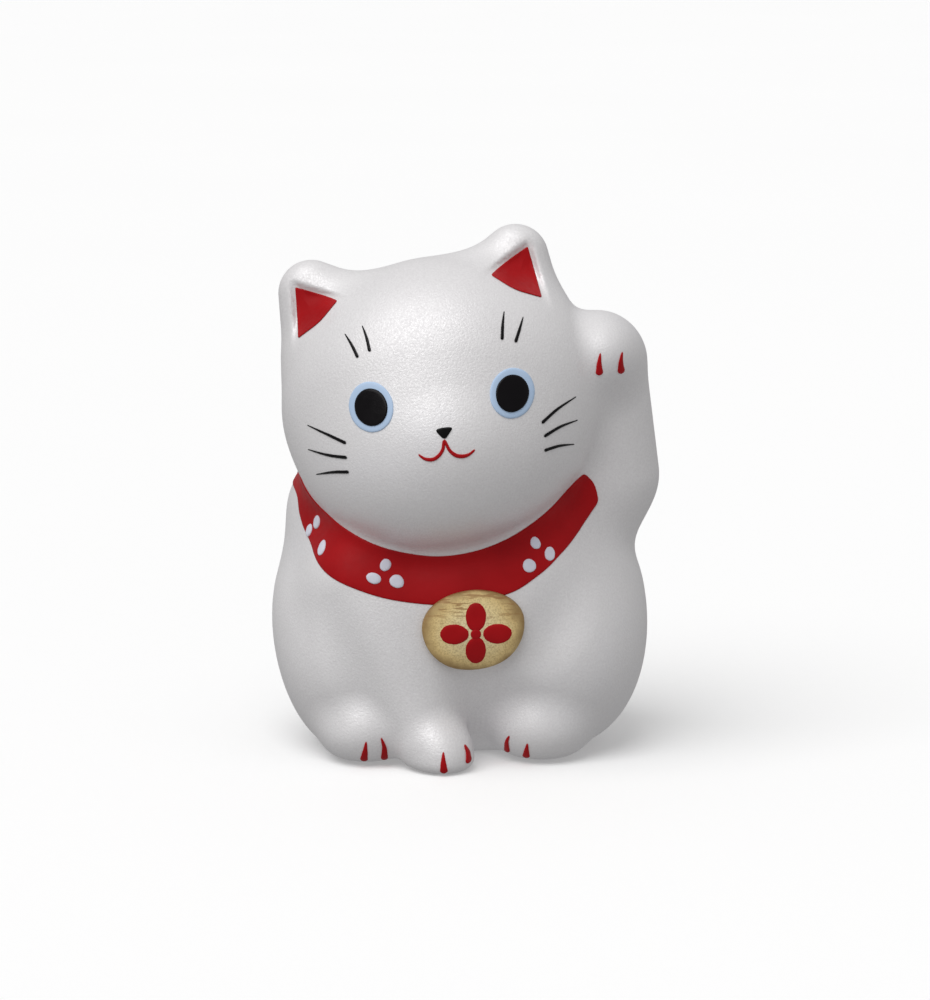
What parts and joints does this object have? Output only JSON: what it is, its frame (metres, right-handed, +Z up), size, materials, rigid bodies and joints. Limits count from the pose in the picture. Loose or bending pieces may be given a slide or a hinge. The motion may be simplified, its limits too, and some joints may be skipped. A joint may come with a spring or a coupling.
{
  "type": "beckoning cat figurine",
  "caption": "Small sitting pottery cat with one front paw raised, painted face, red collar and a gold coin in relief on its chest.",
  "frame": {"origin": "middle of the figure's footprint box, on the surface it stands on", "axes": "+Z up; -Y is the side the cat faces; +X is the cat's own left, the side of the raised paw"},
  "size_m": [0.0532, 0.051, 0.0713],
  "materials": {
    "pearl_slip": "fired earthenware under a thin pearly white slip, satin",
    "bare_clay": "unglazed fired clay, matt",
    "gold_paint": "brushed gold paint on fired clay, satin metallic with darker edges",
    "red_enamel": "brushed red enamel, satin",
    "white_enamel": "raised white enamel dots, satin",
    "blue_enamel": "pale blue enamel, satin",
    "black_enamel": "brushed black enamel, semi-gloss"
  },
  "bodies": {
    "root": {"front_shell": "pearl_slip", "back_shell": "pearl_slip", "base_disc": "bare_clay", "koban_coin": "gold_paint", "koban_emblem": "red_enamel", "collar_band": "red_enamel", "ear_inner_left": "red_enamel", "ear_inner_right": "red_enamel", "mouth": "red_enamel", "raised_paw_claws": "red_enamel", "front_paw_claws": "red_enamel", "left_foot_claws": "red_enamel", "right_foot_claws": "red_enamel", "collar_dots": "white_enamel", "eye_ring_left": "blue_enamel", "eye_ring_right": "blue_enamel", "pupil_left": "black_enamel", "pupil_right": "black_enamel", "nose": "black_enamel", "whiskers_left": "black_enamel", "whiskers_right": "black_enamel", "brow_marks_left": "black_enamel", "brow_marks_right": "black_enamel"}
  },
  "joints": []
}
